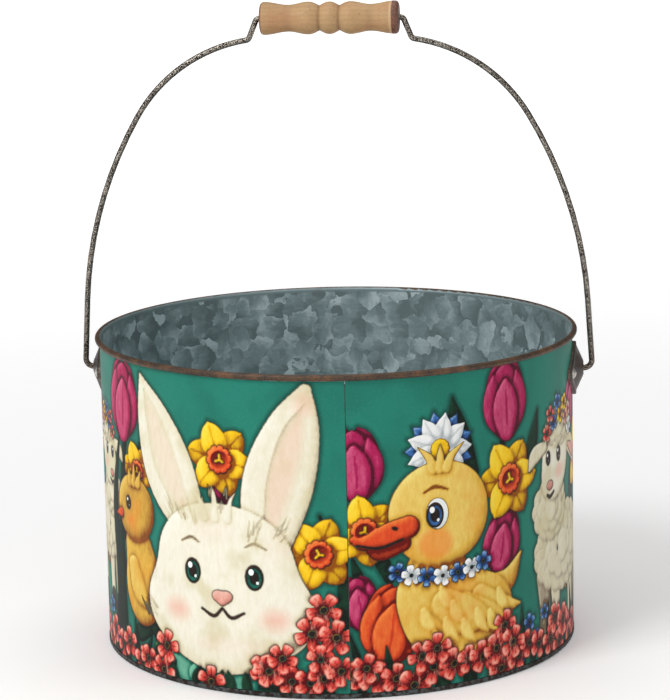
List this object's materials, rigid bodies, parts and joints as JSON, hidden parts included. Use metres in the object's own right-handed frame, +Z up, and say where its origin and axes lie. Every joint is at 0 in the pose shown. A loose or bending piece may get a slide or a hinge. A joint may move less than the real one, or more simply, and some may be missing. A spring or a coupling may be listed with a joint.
{
  "type": "sand bucket",
  "caption": "Round galvanised pail with a rolled rim, printed paper wrap, riveted ears, and a wire bail with a turned wooden grip that swings over an open top.",
  "frame": {"origin": "centre of the foot ring, on the surface that the pail stands on", "axes": "+Z up; X along the bail's pivot axis, through both ears; -Y is the front"},
  "size_m": [0.2682, 0.25, 0.3307],
  "materials": {
    "zinc_sheet": "galvanised, large spangle, rusty along the rim",
    "printed_paper": "glued printed paper with a satin varnish",
    "ear_iron": "dark brown rusted iron",
    "rivet_steel": "worn steel",
    "bail_wire": "tarnished galvanised wire with rust specks",
    "turned_wood": "turned light wood, waxed, stained at the ends"
  },
  "bodies": {
    "pail": {"pail_wall": "zinc_sheet", "rim_wire": "zinc_sheet", "base_pan": "zinc_sheet", "wrap_panel_left": "printed_paper", "wrap_panel_right": "printed_paper", "ear_left": "ear_iron", "ear_right": "ear_iron", "ear_rivets_left": "rivet_steel", "ear_rivets_right": "rivet_steel"},
    "bail": {"bail": "bail_wire"},
    "grip": {"grip": "turned_wood"}
  },
  "joints": [
    {"name": "bail_swing", "type": "hinge", "parent": "pail", "child": "bail", "pos_m": [0, 0, 0.141], "axis": [1, 0, 0], "range_deg": [-132, 132]},
    {"name": "grip_spin", "type": "hinge", "parent": "bail", "child": "grip", "pos_m": [0, 0, 0.3223], "axis": [1, 0, 0], "continuous": true}
  ]
}
